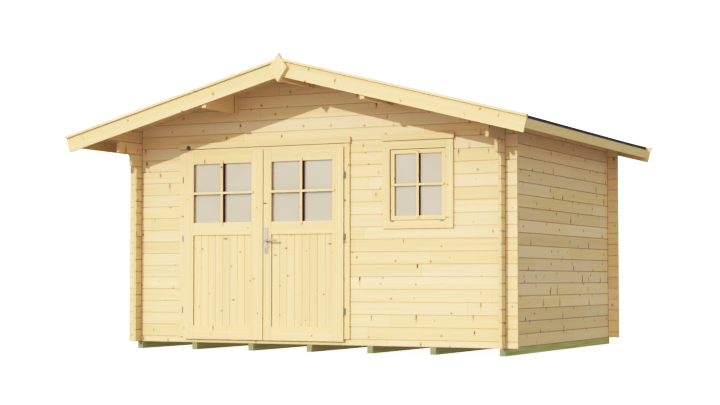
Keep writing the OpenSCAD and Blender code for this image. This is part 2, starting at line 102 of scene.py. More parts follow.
# Planed spruce, untreated: pale yellow, with long soft streaks along the grain, small brown knots,
# upright spike knots where a branch was cut along its length, and tones that change from one log to
# the next and at the glued joints between the lengths of one log. Cut ends show growth rings.
SPRUCE_PALE = "#e9d3b5"
SPRUCE_MIDDLE = "#e7cfa1"
SPRUCE_TAN = "#e3c68e"
SPRUCE_KNOT = "#6e3d18"
SPRUCE_HALO = "#c79a5c"
SPRUCE_END = "#ead2a2"
SPRUCE_RING = "#dbbb84"
SPRUCE_ROUGH = 0.62
# Colour of the painted shade in grooves, notches and joints, and on log ends past the corners
JOINT_SHADE = "#54370e"
STREAK_ALONG = 1800 * MM
STREAK_ACROSS = 28 * MM
FIBRE_ALONG = 120 * MM
FIBRE_ACROSS = 2.5 * MM
FIBRE_DEPTH = 0.4 * MM
FIBRE_BUMP = 0.15
RING = 4 * MM
RING_WAVE = 60 * MM
# Highest tone that chance gives a length of wood, to which its streaks and fibres add their shares
TONE_TOP = 0.55
STREAK_SHARE = 0.5
FIBRE_SHARE = 0.12
# How far the tones of the lengths lie apart in a wall of logs and in boards
LOG_SPREAD = 0.55
BOARD_SPREAD = 0.25
# Lengths between glued joints. Boards are rarely joined, so theirs is longer than any board
LENGTH_GLUED = 1900 * MM
BOARD_LENGTH = 12000 * MM
# The glue line is about 0.3 mm wide, and is drawn wider so that it shows
GLUE_LINE = 3 * MM
GLUE_SHADE = 0.3
# Knots: their spacing, the usual and the small radius, the least radius, which stands for none, the
# share of places that hold one where the wood is fully knotty, the largest one against the usual, and
# a spike knot's width against its height
KNOT_ALONG = 330 * MM
KNOT_ACROSS = 113 * MM
KNOT_R = 5.5 * MM
SMALL_KNOT_R = 4.2 * MM
LEAST_KNOT_R = 0.01 * MM
KNOT_SHARE = 0.8
KNOT_LARGEST = 1.35
SPIKE = 0.22
# Each log or board is moved along its grain by chance, within a length in metres. The numbers that
# chance works from lie a step apart for two materials
FIGURE_SHIFT = 300.0
SEED_STEP = 37.0


def spruce_lengths(tree, along, glued):
    """Chance tone of each length that a log is glued from, and the dark line between two lengths."""
    length = add(tree, "Math", {0: along, 1: glued}, operation="DIVIDE").outputs[0]
    lengths = add(tree, "TexVoronoi", {"W": length, "Scale": 1.0}, voronoi_dimensions="1D").outputs
    edge = add(tree, "TexVoronoi", {"W": length, "Scale": 1.0}, voronoi_dimensions="1D",
               feature="DISTANCE_TO_EDGE").outputs["Distance"]
    line = add(tree, "MapRange", {"Value": edge, "From Min": 0.0, "From Max": GLUE_LINE / glued,
                                  "To Min": GLUE_SHADE, "To Max": 0.0}).outputs[0]
    tone = add(tree, "SeparateColor", {0: lengths["Color"]}).outputs[0]
    return tone, line


def spruce_knots(tree, along, across, knots, knot_r):
    """How much of a knot, and of the stain around one, shows at a place on the wood."""
    u = add(tree, "Math", {0: along, 1: 1 / KNOT_ALONG}, operation="MULTIPLY").outputs[0]
    v = add(tree, "Math", {0: across, 1: 1 / KNOT_ACROSS}, operation="MULTIPLY").outputs[0]
    flat = add(tree, "CombineXYZ", {0: u, 1: v}).outputs[0]
    cells = add(tree, "TexVoronoi", {"Vector": flat, "Scale": 1.0}, voronoi_dimensions="2D").outputs
    luck = add(tree, "SeparateColor", {0: cells["Color"]}).outputs
    away = add(tree, "VectorMath", {0: flat, 1: cells["Position"]}, operation="SUBTRACT").outputs[0]
    away = add(tree, "VectorMath", {0: away, 1: (KNOT_ALONG, KNOT_ACROSS, 0.0)},
               operation="MULTIPLY").outputs[0]
    reach = add(tree, "MapRange", {"Value": luck[1], "From Min": 0.5, "From Max": 0.9, "To Min": 1.0,
                                   "To Max": SPIKE}).outputs[0]
    reach = add(tree, "CombineXYZ", {0: 1.0, 1: reach, 2: 1.0}).outputs[0]
    away = add(tree, "VectorMath", {0: away, 1: reach}, operation="MULTIPLY").outputs[0]
    away = add(tree, "VectorMath", {0: away}, operation="LENGTH").outputs["Value"]
    bare = 1.0 - KNOT_SHARE * knots
    size = add(tree, "MapRange", {"Value": luck[0], "From Min": bare, "From Max": bare + 0.5,
                                  "To Min": 0.0, "To Max": KNOT_LARGEST * knot_r}).outputs[0]
    size = add(tree, "Math", {0: size, 1: LEAST_KNOT_R}, operation="MAXIMUM").outputs[0]
    ratio = add(tree, "Math", {0: away, 1: size}, operation="DIVIDE").outputs[0]
    dark = add(tree, "MapRange", {"Value": luck[2], "To Min": 0.45, "To Max": 1.0}).outputs[0]
    knot = add(tree, "MapRange", {"Value": ratio, "From Min": 0.6, "From Max": 1.1, "To Min": dark,
                                  "To Max": 0.0}, interpolation_type="SMOOTHSTEP").outputs[0]
    halo = add(tree, "MapRange", {"Value": ratio, "From Min": 0.8, "From Max": 3.2, "To Min": 0.5,
                                  "To Max": 0.0}, interpolation_type="SMOOTHSTEP").outputs[0]
    return knot, halo


def spruce_streaks(tree, run, grain):
    """Long soft streaks and fine fibres along the grain."""
    drawn_out = add(tree, "VectorMath", {0: run, 1: stretch(grain, STREAK_ALONG, STREAK_ACROSS)},
                    operation="MULTIPLY").outputs[0]
    streak = add(tree, "TexNoise", {"Vector": drawn_out, "Scale": 1.0, "Detail": 2.0, "Roughness": 0.55,
                                    "Distortion": 0.4}).outputs[0]
    streak = add(tree, "MapRange", {"Value": streak, "From Min": 0.32, "From Max": 0.7}).outputs[0]
    drawn_out = add(tree, "VectorMath", {0: run, 1: stretch(grain, FIBRE_ALONG, FIBRE_ACROSS)},
                    operation="MULTIPLY").outputs[0]
    fibre = add(tree, "TexNoise", {"Vector": drawn_out, "Scale": 1.0, "Detail": 1.0}).outputs[0]
    return streak, fibre


def spruce_ends(tree, across, through, number):
    """Growth rings on the cut end of a log or board, by its number."""
    pith = add(tree, "CombineXYZ", {0: across, 1: through, 2: number}).outputs[0]
    rings = add(tree, "TexNoise", {"Vector": pith, "Scale": 1 / RING_WAVE, "Detail": 0.0}).outputs[0]
    rings = add(tree, "Math", {0: rings, 1: 2 * RING_WAVE / RING}, operation="MULTIPLY").outputs[0]
    rings = add(tree, "Math", {0: rings, 1: 1.0}, operation="PINGPONG").outputs[0]
    return add(tree, "Mix", {0: rings, 6: linear(SPRUCE_END), 7: linear(SPRUCE_RING)},
               data_type="RGBA").outputs[2]


def spruce_grain(tree, place, turned, grain, lane, pitch, origin, seed, knots, glued=BOARD_LENGTH,
                 spread=BOARD_SPREAD, vary=0.02, knot_r=KNOT_R):
    """Spruce with its grain along one axis and its logs or boards side by side along another.

    Gives the colour, the fibres, the place along the three axes and the place counted in boards.
    """
    face = X + Y + Z - grain - lane
    axes = add(tree, "SeparateXYZ", {0: place}).outputs
    share = add(tree, "Math", {0: axes[lane], 1: origin}, operation="SUBTRACT").outputs[0]
    share = add(tree, "Math", {0: share, 1: pitch}, operation="DIVIDE").outputs[0]
    number = add(tree, "Math", {0: share}, operation="FLOOR").outputs[0]
    number = add(tree, "Math", {0: number, 1: seed * SEED_STEP}, operation="ADD").outputs[0]
    chance = add(tree, "TexWhiteNoise", {"W": number}, noise_dimensions="1D").outputs
    shift = add(tree, "Math", {0: chance["Value"], 1: FIGURE_SHIFT}, operation="MULTIPLY").outputs[0]
    along = add(tree, "Math", {0: axes[grain], 1: shift}, operation="ADD").outputs[0]

    length, joint = spruce_lengths(tree, along, glued)
    knot, halo = spruce_knots(tree, along, axes[lane], knots, knot_r)
    run = add(tree, "CombineXYZ", {grain: along, lane: axes[lane], face: axes[face]}).outputs[0]
    streak, fibre = spruce_streaks(tree, run, grain)

    tone = add(tree, "Math", {0: length, 1: spread, 2: TONE_TOP - spread},
               operation="MULTIPLY_ADD").outputs[0]
    tone = add(tree, "Math", {0: streak, 1: STREAK_SHARE, 2: tone}, operation="MULTIPLY_ADD").outputs[0]
    tone = add(tree, "Math", {0: fibre, 1: FIBRE_SHARE, 2: tone}, operation="MULTIPLY_ADD").outputs[0]
    ramp = add(tree, "ValToRGB", {0: tone})
    ramp.color_ramp.elements[0].color = linear(SPRUCE_PALE)
    ramp.color_ramp.elements[1].color = linear(SPRUCE_TAN)
    ramp.color_ramp.elements.new(0.5).color = linear(SPRUCE_MIDDLE)
    tint = add(tree, "SeparateColor", {0: chance["Color"]}).outputs[1]
    tint = add(tree, "MapRange", {"Value": tint, "To Min": 1 - vary, "To Max": 1 + vary}).outputs[0]
    colour = add(tree, "VectorMath", {0: ramp.outputs[0], "Scale": tint}, operation="SCALE").outputs[0]
    for amount, mark in ((halo, SPRUCE_HALO), (knot, SPRUCE_KNOT), (joint, SPRUCE_KNOT)):
        colour = add(tree, "Mix", {0: amount, 6: colour, 7: linear(mark)}, data_type="RGBA").outputs[2]

    ends = spruce_ends(tree, axes[lane], axes[face], number)
    facing = add(tree, "Math", {0: turned[grain]}, operation="ABSOLUTE").outputs[0]
    facing = add(tree, "MapRange", {"Value": facing, "From Min": 0.75, "From Max": 0.85}).outputs[0]
    colour = add(tree, "Mix", {0: facing, 6: colour, 7: ends}, data_type="RGBA").outputs[2]
    return colour, fibre, axes, share


def planed(tree, colour, fibre):
    """Ends a spruce material in a dull surface whose fibres stand out a little."""
    finish(tree, {"Base Color": colour, "Roughness": SPRUCE_ROUGH}, fibre, FIBRE_BUMP, FIBRE_DEPTH)


# Painted shade in the groove between two logs and beside the notch where two walls cross: half its
# full width, and half its width where it has faded out
GROOVE_EDGE = 3 * MM
GROOVE_FADE = 4.8 * MM
CROSSING_EDGE = 15 * MM
CROSSING_FADE = 19 * MM
CROSSING_SHADE = 0.5


def spruce_logs(name, grain, origin, crossing, seed, knots, knot_r, vary, shade, past):
    """Logs of one wall, with painted shade in the grooves, at the notches and on the ends past them."""
    made, tree = new_material(name)
    place = add(tree, "TexCoord", {}).outputs
    turned = add(tree, "SeparateXYZ", {0: place["Normal"]}).outputs
    colour, fibre, axes, share = spruce_grain(
        tree, place["Object"], turned, grain, lane=Z, pitch=LOG_H, origin=origin, seed=seed,
        knots=knots, glued=LENGTH_GLUED, spread=LOG_SPREAD, vary=vary, knot_r=knot_r)
    # Painted shade in the grooves between the logs and beside the notches where the walls cross
    beside = add(tree, "Math", {0: share, 1: 0.5}, operation="PINGPONG").outputs[0]
    groove = add(tree, "MapRange", {"Value": beside, "From Min": GROOVE_EDGE / LOG_H,
                                    "From Max": GROOVE_FADE / LOG_H, "To Min": shade,
                                    "To Max": 0.0}).outputs[0]
    out = add(tree, "Math", {0: axes[grain]}, operation="ABSOLUTE").outputs[0]
    beside = add(tree, "Math", {0: out, 1: crossing}, operation="SUBTRACT").outputs[0]
    beside = add(tree, "Math", {0: beside}, operation="ABSOLUTE").outputs[0]
    notch = add(tree, "MapRange", {"Value": beside, "From Min": CROSSING_EDGE, "From Max": CROSSING_FADE,
                                   "To Min": CROSSING_SHADE, "To Max": 0.0}).outputs[0]
    # Painted shade on the side walls' log ends past the corners, which lie in the corner's shade
    stub_shade = add(tree, "Math", {0: out, 1: crossing}, operation="GREATER_THAN").outputs[0]
    stub_shade = add(tree, "Math", {0: stub_shade, 1: past}, operation="MULTIPLY").outputs[0]
    for amount in (groove, notch, stub_shade):
        colour = add(tree, "Mix", {0: amount, 6: colour, 7: linear(JOINT_SHADE)},
                     data_type="RGBA").outputs[2]
    planed(tree, colour, fibre)
    return made


# A dead knot: a dull spot with a bleached ring around it, and the radii where they fade
DEAD_KNOT = "#5d4f58"
DEAD_SPOT = (18 * MM, 29 * MM)
DEAD_RING = (26 * MM, 48 * MM)


def dead_knot_marks(tree, place, colour, centre):
    """Draws a dead knot over the colour of a board."""
    near = add(tree, "VectorMath", {0: place, 1: centre}, operation="DISTANCE").outputs["Value"]
    for radii, amount, mark in ((DEAD_RING, 0.6, SPRUCE_PALE), (DEAD_SPOT, 0.95, DEAD_KNOT)):
        cover = add(tree, "MapRange", {"Value": near, "From Min": radii[0], "From Max": radii[1],
                                       "To Min": amount, "To Max": 0.0},
                    interpolation_type="SMOOTHSTEP").outputs[0]
        colour = add(tree, "Mix", {0: cover, 6: colour, 7: linear(mark)}, data_type="RGBA").outputs[2]
    return colour


# The line of painted shade where a purlin is notched, in front of a gable: half its width, and how dark it
# is
NOTCH_LINE = 10 * MM
NOTCH_SHADE = 0.4


def notch_line(tree, place, colour, out):
    """Draws the painted shade of a purlin's notches at a distance from the middle of the house."""
    depth = add(tree, "SeparateXYZ", {0: place}).outputs[Y]
    depth = add(tree, "Math", {0: depth}, operation="ABSOLUTE").outputs[0]
    line = add(tree, "Math", {0: depth, 1: out, 2: NOTCH_LINE}, operation="COMPARE").outputs[0]
    line = add(tree, "Math", {0: line, 1: NOTCH_SHADE}, operation="MULTIPLY").outputs[0]
    return add(tree, "Mix", {0: line, 6: colour, 7: linear(JOINT_SHADE)}, data_type="RGBA").outputs[2]


# Painted shade in the joint between two boards: half its full width, and half its width where it has
# faded out
BOARD_EDGE = 1.8 * MM
BOARD_FADE = 3.6 * MM
# Boards that lie apart get their own figure in steps of a lane, and a piece that is one board lies in
# a lane that is wider than anything on the house
LANE = 500 * MM
ONE_LANE = 3000 * MM


def spruce_boards(name, grain, lane, pitch, seed, knots=0.6, tilt=0.0, origin=0.0, dead_knot=None,
                  notch=None, knot_r=KNOT_R, vary=0.02, shade=0.0):
    """Boards that may be tilted about Y, as the ones along the slopes of the roof are."""
    made, tree = new_material(name)
    place = add(tree, "TexCoord", {}).outputs
    level = add(tree, "VectorRotate", {"Vector": place["Object"], "Angle": tilt},
                rotation_type="Y_AXIS").outputs[0]
    facing = add(tree, "VectorRotate", {"Vector": place["Normal"], "Angle": tilt},
                 rotation_type="Y_AXIS").outputs[0]
    turned = add(tree, "SeparateXYZ", {0: facing}).outputs
    colour, fibre, _, share = spruce_grain(tree, level, turned, grain, lane, pitch, origin, seed, knots,
                                           vary=vary, knot_r=knot_r)
    # Painted shade in the joints between the boards
    if shade:
        beside = add(tree, "Math", {0: share, 1: 0.5}, operation="PINGPONG").outputs[0]
        joint = add(tree, "MapRange", {"Value": beside, "From Min": BOARD_EDGE / pitch,
                                       "From Max": BOARD_FADE / pitch, "To Min": shade,
                                       "To Max": 0.0}).outputs[0]
        colour = add(tree, "Mix", {0: joint, 6: colour, 7: linear(JOINT_SHADE)},
                     data_type="RGBA").outputs[2]
    if dead_knot:
        colour = dead_knot_marks(tree, place["Object"], colour, dead_knot)
    if notch:
        colour = notch_line(tree, place["Object"], colour, notch)
    planed(tree, colour, fibre)
    return made


# Joinery: knottiness of its wood, where its lanes start, and a height that no header board reaches
JOINERY_KNOTS = 0.8
JOINERY_START = 130 * MM
NO_HEADER = 10.0


def spruce_joinery(name, opening, seed, header=NO_HEADER):
    """Upright stiles with level rails between them, whose joints lie at the sides of an opening.

    Above the height of a header board the grain is level from side to side.
    """
    made, tree = new_material(name)
    low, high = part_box(opening)
    place = add(tree, "TexCoord", {}).outputs
    turned = add(tree, "SeparateXYZ", {0: place["Normal"]}).outputs
    stiles, fibre, axes, _ = spruce_grain(tree, place["Object"], turned, Z, X, LANE, JOINERY_START, seed,
                                          JOINERY_KNOTS, knot_r=SMALL_KNOT_R)
    rails, _, _, _ = spruce_grain(tree, place["Object"], turned, X, Z, LANE, JOINERY_START, seed + 1,
                                  JOINERY_KNOTS, knot_r=SMALL_KNOT_R)
    beside = add(tree, "Math", {0: axes[X], 1: (low.x + high.x) / 2}, operation="SUBTRACT").outputs[0]
    beside = add(tree, "Math", {0: beside}, operation="ABSOLUTE").outputs[0]
    beside = add(tree, "Math", {0: beside, 1: (high.x - low.x) / 2}, operation="SUBTRACT").outputs[0]
    level = add(tree, "Math", {0: beside, 1: 0.0}, operation="LESS_THAN").outputs[0]
    above = add(tree, "Math", {0: axes[Z], 1: header}, operation="GREATER_THAN").outputs[0]
    level = add(tree, "Math", {0: level, 1: above}, operation="MAXIMUM").outputs[0]
    colour = add(tree, "Mix", {0: level, 6: stiles, 7: rails}, data_type="RGBA").outputs[2]
    gap = add(tree, "Math", {0: beside}, operation="ABSOLUTE").outputs[0]
    gap = add(tree, "MapRange", {"Value": gap, "From Min": 0.0, "From Max": GLUE_LINE,
                                 "To Min": GLUE_SHADE, "To Max": 0.0}).outputs[0]
    colour = add(tree, "Mix", {0: gap, 6: colour, 7: linear(SPRUCE_KNOT)}, data_type="RGBA").outputs[2]
    planed(tree, colour, fibre)
    return made


# Places on the frame: the foot of the walls, the first joint of the front and rear logs, and the middles
# of the logs where the walls cross
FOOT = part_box("right_wall")[0].z
HALF_LOG = FOOT - LOG_H / 2
CROSSING_X = middle("right_wall")[X]
CROSSING_Y = middle("rear_wall")[Y]
# The side walls are knottier and more varied, with more painted shade in their grooves and painted shade
# on their ends past the corners
END_WALL = {"knots": 0.95, "knot_r": 5.0 * MM, "vary": 0.03, "shade": 0.13, "past": 0.0}
SIDE_WALL = {"knots": 1.15, "knot_r": 6.5 * MM, "vary": 0.09, "shade": 0.3, "past": 0.07}
front_logs = spruce_logs("planed_spruce_front_logs", X, HALF_LOG, CROSSING_X, seed=1, **END_WALL)
rear_logs = spruce_logs("planed_spruce_rear_logs", X, HALF_LOG, CROSSING_X, seed=2, **END_WALL)
left_logs = spruce_logs("planed_spruce_left_logs", Y, FOOT, CROSSING_Y, seed=3, **SIDE_WALL)
right_logs = spruce_logs("planed_spruce_right_logs", Y, FOOT, CROSSING_Y, seed=4, **SIDE_WALL)

upright_boards = spruce_boards("planed_spruce_upright_boards", Z, X, LANE, seed=5, knots=0.8)
level_boards = spruce_boards("planed_spruce_level_boards", X, Z, LANE, seed=6)
deep_boards = spruce_boards("planed_spruce_deep_boards", Y, Z, ONE_LANE, seed=7)

# The dead knot lies near the left end of the board over the door
DEAD_KNOT_IN = 112 * MM
DEAD_KNOT_DOWN = 45 * MM
head_low, head_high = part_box("door_head")
dead_knot_place = (head_low.x + DEAD_KNOT_IN, head_low.y, head_high.z - DEAD_KNOT_DOWN)
head_board = spruce_boards("planed_spruce_door_head", X, Z, LANE, seed=19, knots=0.4,
                           dead_knot=dead_knot_place)

# Distance of a purlin's notch from the face of the gable
NOTCH_AHEAD = 82 * MM
purlin_wood = spruce_boards("planed_spruce_purlins", Y, Z, ONE_LANE, seed=20,
                            notch=NOTCH_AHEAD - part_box("front_gable")[0].y)

# Width of a roof board
ROOF_BOARD_W = 96 * MM
sloped_boards = spruce_boards("planed_spruce_sloped_boards", X, Y, ROOF_BOARD_W, seed=8, knots=1.0)
left_slope = spruce_boards("planed_spruce_left_bargeboards", X, Z, ONE_LANE, seed=9, knots=1.0, tilt=PITCH)
right_slope = spruce_boards("planed_spruce_right_bargeboards", X, Z, ONE_LANE, seed=10, knots=1.0,
                            tilt=-PITCH)

# Height of the window's header board with half of the groove below it
HEADER_H = 58 * MM
left_leaf_wood = spruce_joinery("planed_spruce_left_leaf", "left_leaf_glass", seed=11)
right_leaf_wood = spruce_joinery("planed_spruce_right_leaf", "right_leaf_glass", seed=13)
frame_wood = spruce_joinery("planed_spruce_window_frame", "window_sash", seed=15,
                            header=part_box("window_frame")[1].z - HEADER_H)
sash_wood = spruce_joinery("planed_spruce_window_sash", "window_glass", seed=17)

# Sizes of the patterns in the other materials. Felt chips are 1 to 2 mm across and ground scratches
# about 0.1 mm, and both are drawn coarser so that they show
SAWN_ALONG = 500 * MM
SAWN_ACROSS = 50 / 3 * MM
FELT_CHIP = 3 * MM
FELT_PATCH = 1000 / 3 * MM
GLASS_REFLECTION_PATCH = 400 * MM
SCRATCH_ALONG = 25 * MM
SCRATCH_ACROSS = 10 / 9 * MM
STEEL_SMEAR = 12 * MM
ZINC_CLOUD = 6.25 * MM
TAPE_GRAIN = 100 / 9 * MM


def treated_pine():
    """Pressure-treated pine, sawn: grey-green from the copper salts, patchy where they soaked in."""
    made, tree = new_material("pressure_treated_sawn_pine")
    place = add(tree, "TexCoord", {}).outputs
    drawn_out = add(tree, "VectorMath", {0: place["Object"], 1: stretch(Y, SAWN_ALONG, SAWN_ACROSS)},
                    operation="MULTIPLY").outputs[0]
    streak = add(tree, "TexNoise", {"Vector": drawn_out, "Scale": 1.0, "Detail": 3.0}).outputs[0]
    streak = add(tree, "MapRange", {"Value": streak, "From Min": 0.3, "From Max": 0.7}).outputs[0]
    sides = add(tree, "Mix", {0: streak, 6: linear("#bdbc7e"), 7: linear("#a8a76a")},
                data_type="RGBA").outputs[2]
    ends = add(tree, "Mix", {0: streak, 6: linear("#9f9f80"), 7: linear("#8c8c68")},
               data_type="RGBA").outputs[2]
    facing = add(tree, "SeparateXYZ", {0: place["Normal"]}).outputs[Y]
    facing = add(tree, "Math", {0: facing}, operation="ABSOLUTE").outputs[0]
    colour = add(tree, "Mix", {0: facing, 6: sides, 7: ends}, data_type="RGBA").outputs[2]
    finish(tree, {"Base Color": colour, "Roughness": 0.8}, streak, strength=0.3, depth=0.6 * MM)
    return made


def roofing_felt():
    """Bitumen roofing felt with mineral chips pressed in: near black, matt and gritty."""
    made, tree = new_material("mineral_bitumen_felt")
    place = add(tree, "TexCoord", {}).outputs["Object"]
    grit = add(tree, "TexVoronoi", {"Vector": place, "Scale": 1 / FELT_CHIP}).outputs["Color"]
    grit = add(tree, "SeparateColor", {0: grit}).outputs[0]
    patch = add(tree, "TexNoise", {"Vector": place, "Scale": 1 / FELT_PATCH, "Detail": 4.0}).outputs[0]
    grey = add(tree, "Math", {0: grit, 1: 0.5, 2: patch}, operation="MULTIPLY_ADD").outputs[0]
    colour = add(tree, "Mix", {0: grey, 6: linear("#23211e"), 7: linear("#464340")},
                 data_type="RGBA").outputs[2]
    finish(tree, {"Base Color": colour, "Roughness": 0.9}, grit, strength=0.5, depth=1 * MM)
    return made


def pale_glass():
    """Float glass: part mirror, part pale, faintly cloudy painted reflection of the studio; hides the room
    behind.
    """
    made, tree = new_material("float_glass_painted_reflection")
    place = add(tree, "TexCoord", {}).outputs["Object"]
    # Painted reflection: a pale colour with faint cloudy patches, standing for the studio mirrored in the
    # glass
    painted_reflection = add(tree, "TexNoise", {"Vector": place, "Scale": 1 / GLASS_REFLECTION_PATCH, "Detail": 2.0}).outputs[0]
    colour = add(tree, "Mix", {0: painted_reflection, 6: linear("#d0c9b8"), 7: linear("#c6b9a8")},
                 data_type="RGBA").outputs[2]
    finish(tree, {"Base Color": colour, "Roughness": 0.06, "Metallic": 0.4})
    return made


def satin_steel():
    """Stainless steel, satin ground: soft grey with fine scratches along the plate."""
    made, tree = new_material("satin_ground_steel")
    place = add(tree, "TexCoord", {}).outputs["Object"]
    drawn_out = add(tree, "VectorMath", {0: place, 1: stretch(Z, SCRATCH_ALONG, SCRATCH_ACROSS)},
                    operation="MULTIPLY").outputs[0]
    scratch = add(tree, "TexNoise", {"Vector": drawn_out, "Scale": 1.0, "Detail": 2.0}).outputs[0]
    rough = add(tree, "MapRange", {"Value": scratch, "To Min": 0.28, "To Max": 0.48}).outputs[0]
    colour = add(tree, "Mix", {0: scratch, 6: linear("#bfb6ae"), 7: linear("#a39b94")},
                 data_type="RGBA").outputs[2]
    finish(tree, {"Base Color": colour, "Roughness": rough, "Metallic": 1.0}, scratch, strength=0.05,
           depth=0.1 * MM)
    return made


def polished_steel():
    """Stainless steel, polished: bright, so that the wood and studio show in it, mirrored and as painted
    reflection.
    """
    made, tree = new_material("polished_stainless_steel")
    place = add(tree, "TexCoord", {}).outputs["Object"]
    smear_and_reflection = add(tree, "TexNoise", {"Vector": place, "Scale": 1 / STEEL_SMEAR, "Detail": 2.0}).outputs[0]
    rough = add(tree, "MapRange", {"Value": smear_and_reflection, "To Min": 0.14, "To Max": 0.26}).outputs[0]
    # Painted reflection of the pale wood: a cream tint, patchy where the steel is smeared
    colour = add(tree, "Mix", {0: smear_and_reflection, 6: linear("#ece3d2"), 7: linear("#ddd3c0")},
                 data_type="RGBA").outputs[2]
    finish(tree, {"Base Color": colour, "Roughness": rough, "Metallic": 1.0})
    return made


def zinc_steel():
    """Zinc-plated steel, dulled by weather: olive grey with cloudy spots."""
    made, tree = new_material("weathered_zinc_plated_steel")
    place = add(tree, "TexCoord", {}).outputs["Object"]
    cloud = add(tree, "TexNoise", {"Vector": place, "Scale": 1 / ZINC_CLOUD, "Detail": 3.0}).outputs[0]
    colour = add(tree, "Mix", {0: cloud, 6: linear("#7d7a66"), 7: linear("#a3a08e")},
                 data_type="RGBA").outputs[2]
    finish(tree, {"Base Color": colour, "Roughness": 0.5, "Metallic": 0.35}, cloud, strength=0.1,
           depth=0.2 * MM)
    return made


def dark_tape_and_shade():
    """Butyl glazing tape, extruded: brown-black and dull, and also painted shade in gaps and beside bars."""
    made, tree = new_material("butyl_tape_and_painted_shade")
    place = add(tree, "TexCoord", {}).outputs["Object"]
    grain = add(tree, "TexNoise", {"Vector": place, "Scale": 1 / TAPE_GRAIN}).outputs[0]
    colour = add(tree, "Mix", {0: grain, 6: linear("#4a2508"), 7: linear("#5a3010")},
                 data_type="RGBA").outputs[2]
    finish(tree, {"Base Color": colour, "Roughness": 0.9, "Specular IOR Level": 0.1})
    return made


pine = treated_pine()
felt = roofing_felt()
glass = pale_glass()
steel = satin_steel()
bright_steel = polished_steel()
zinc = zinc_steel()
tape_and_shade = dark_tape_and_shade()

FINISH = {
    "bearers": pine, "floor": level_boards, "left_wall": left_logs, "left_corbel_logs": left_logs,
    "right_wall": right_logs, "right_corbel_logs": right_logs, "rear_wall": rear_logs,
    "rear_gable": rear_logs, "front_base_log": front_logs, "front_wall_left": front_logs,
    "front_wall_middle": front_logs, "front_wall_under_window": front_logs,
    "front_wall_right": front_logs, "front_gable": front_logs, "ridge_purlin": purlin_wood,
    "left_purlin": purlin_wood, "right_purlin": purlin_wood, "left_roof_boards": sloped_boards,
    "right_roof_boards": sloped_boards, "left_roof_felt": felt, "right_roof_felt": felt,
    "front_left_bargeboard": left_slope, "front_right_bargeboard": right_slope,
    "rear_left_bargeboard": left_slope, "rear_right_bargeboard": right_slope,
    "front_cover_strip": level_boards, "rear_cover_strip": level_boards, "left_fascia": deep_boards,
    "right_fascia": deep_boards, "ridge_finial": upright_boards, "door_left_jamb": upright_boards,
    "door_right_jamb": upright_boards, "door_head": head_board, "door_sill": level_boards,
    "frame_hinges": zinc, "window_frame": frame_wood, "window_sash": sash_wood,
    "window_glass": glass, "left_leaf_frame": left_leaf_wood, "left_leaf_panel": upright_boards,
    "left_leaf_glass": glass, "left_leaf_hinges": zinc, "right_leaf_frame": right_leaf_wood,
    "right_leaf_panel": upright_boards, "right_leaf_glass": glass, "right_leaf_hinges": zinc,
    "handle_plates": steel, "lever_handle": bright_steel,
}
for name, made in FINISH.items():
    for slot in nodes[name].material_slots:
        slot.material = made


def prism(mesh, outline, run):
    """Closes a solid between an outline and the same outline further along."""
    near = [mesh.verts.new(p) for p in outline]
    far = [mesh.verts.new(Vector(p) + run) for p in outline]
    mesh.faces.new(near)
    mesh.faces.new(far[::-1])
    for i in range(len(near)):
        j = (i + 1) % len(near)
        mesh.faces.new((near[j], near[i], far[i], far[j]))


def rectangle(x0, x1, y, z0, z1):
    """Corners of an upright rectangle that faces the front."""
    return [(x0, y, z0), (x1, y, z0), (x1, y, z1), (x0, y, z1)]


def disc(mesh, centre, radius, run, sides=16):
    """A short round rod along a level line."""
    over = run.normalized().cross(UP)
    ring = []
    for k in range(sides):
        turn = k * math.tau / sides
        ring.append(Vector(centre) + radius * (math.cos(turn) * over + math.sin(turn) * UP))
    prism(mesh, ring, run)


def side_by_side(start, end, count):
    """Edges of equal boards that lie side by side from start to end."""
    width = (end - start) / count
    return [(start + i * width, start + i * width + width) for i in range(count)]


def piece(name, mesh, made, body, slot, *replaced):
    """Turns a mesh into a piece that rides on a body and may stand for some of its nodes."""
    bmesh.ops.recalc_face_normals(mesh, faces=mesh.faces)
    data = bpy.data.meshes.new(name)
    mesh.to_mesh(data)
    mesh.free()
    data.materials.append(made)
    made_piece = bpy.data.objects.new(name, data)
    bpy.context.scene.collection.objects.link(made_piece)
    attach(made_piece, body)
    if replaced:
        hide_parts(*replaced)


# Panel boards of the door leaves, with bevelled edges and painted shade in the joints between them
PANEL_BOARDS = 8
GROOVE = 3.5 * MM
PANEL_LOOK = {"knots": 1.2, "knot_r": SMALL_KNOT_R, "vary": 0.05, "shade": 0.12}


def panel_boards(side, seed):
    """Upright boards of one leaf's panel, bevelled where they meet."""
    low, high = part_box(side + "_leaf_panel")
    width = (high.x - low.x) / PANEL_BOARDS
    wood = spruce_boards("planed_spruce_" + side + "_panel", Z, X, width, seed, origin=low.x, **PANEL_LOOK)
    mesh = bmesh.new()
    for i, (x0, x1) in enumerate(side_by_side(low.x, high.x, PANEL_BOARDS)):
        cut0 = 0 if i == 0 else GROOVE
        cut1 = 0 if i == PANEL_BOARDS - 1 else GROOVE
        outline = [(x0, low.y + cut0), (x0 + cut0, low.y), (x1 - cut1, low.y), (x1, low.y + cut1),
                   (x1, high.y - cut1), (x1 - cut1, high.y), (x0 + cut0, high.y), (x0, high.y - cut0)]
        corners = [(x, y, low.z) for x, y in dict.fromkeys(outline)]
        prism(mesh, corners, UP * (high.z - low.z))
    piece(side + "_leaf_boards", mesh, wood, side + "_door", "spruce", side + "_leaf_panel")


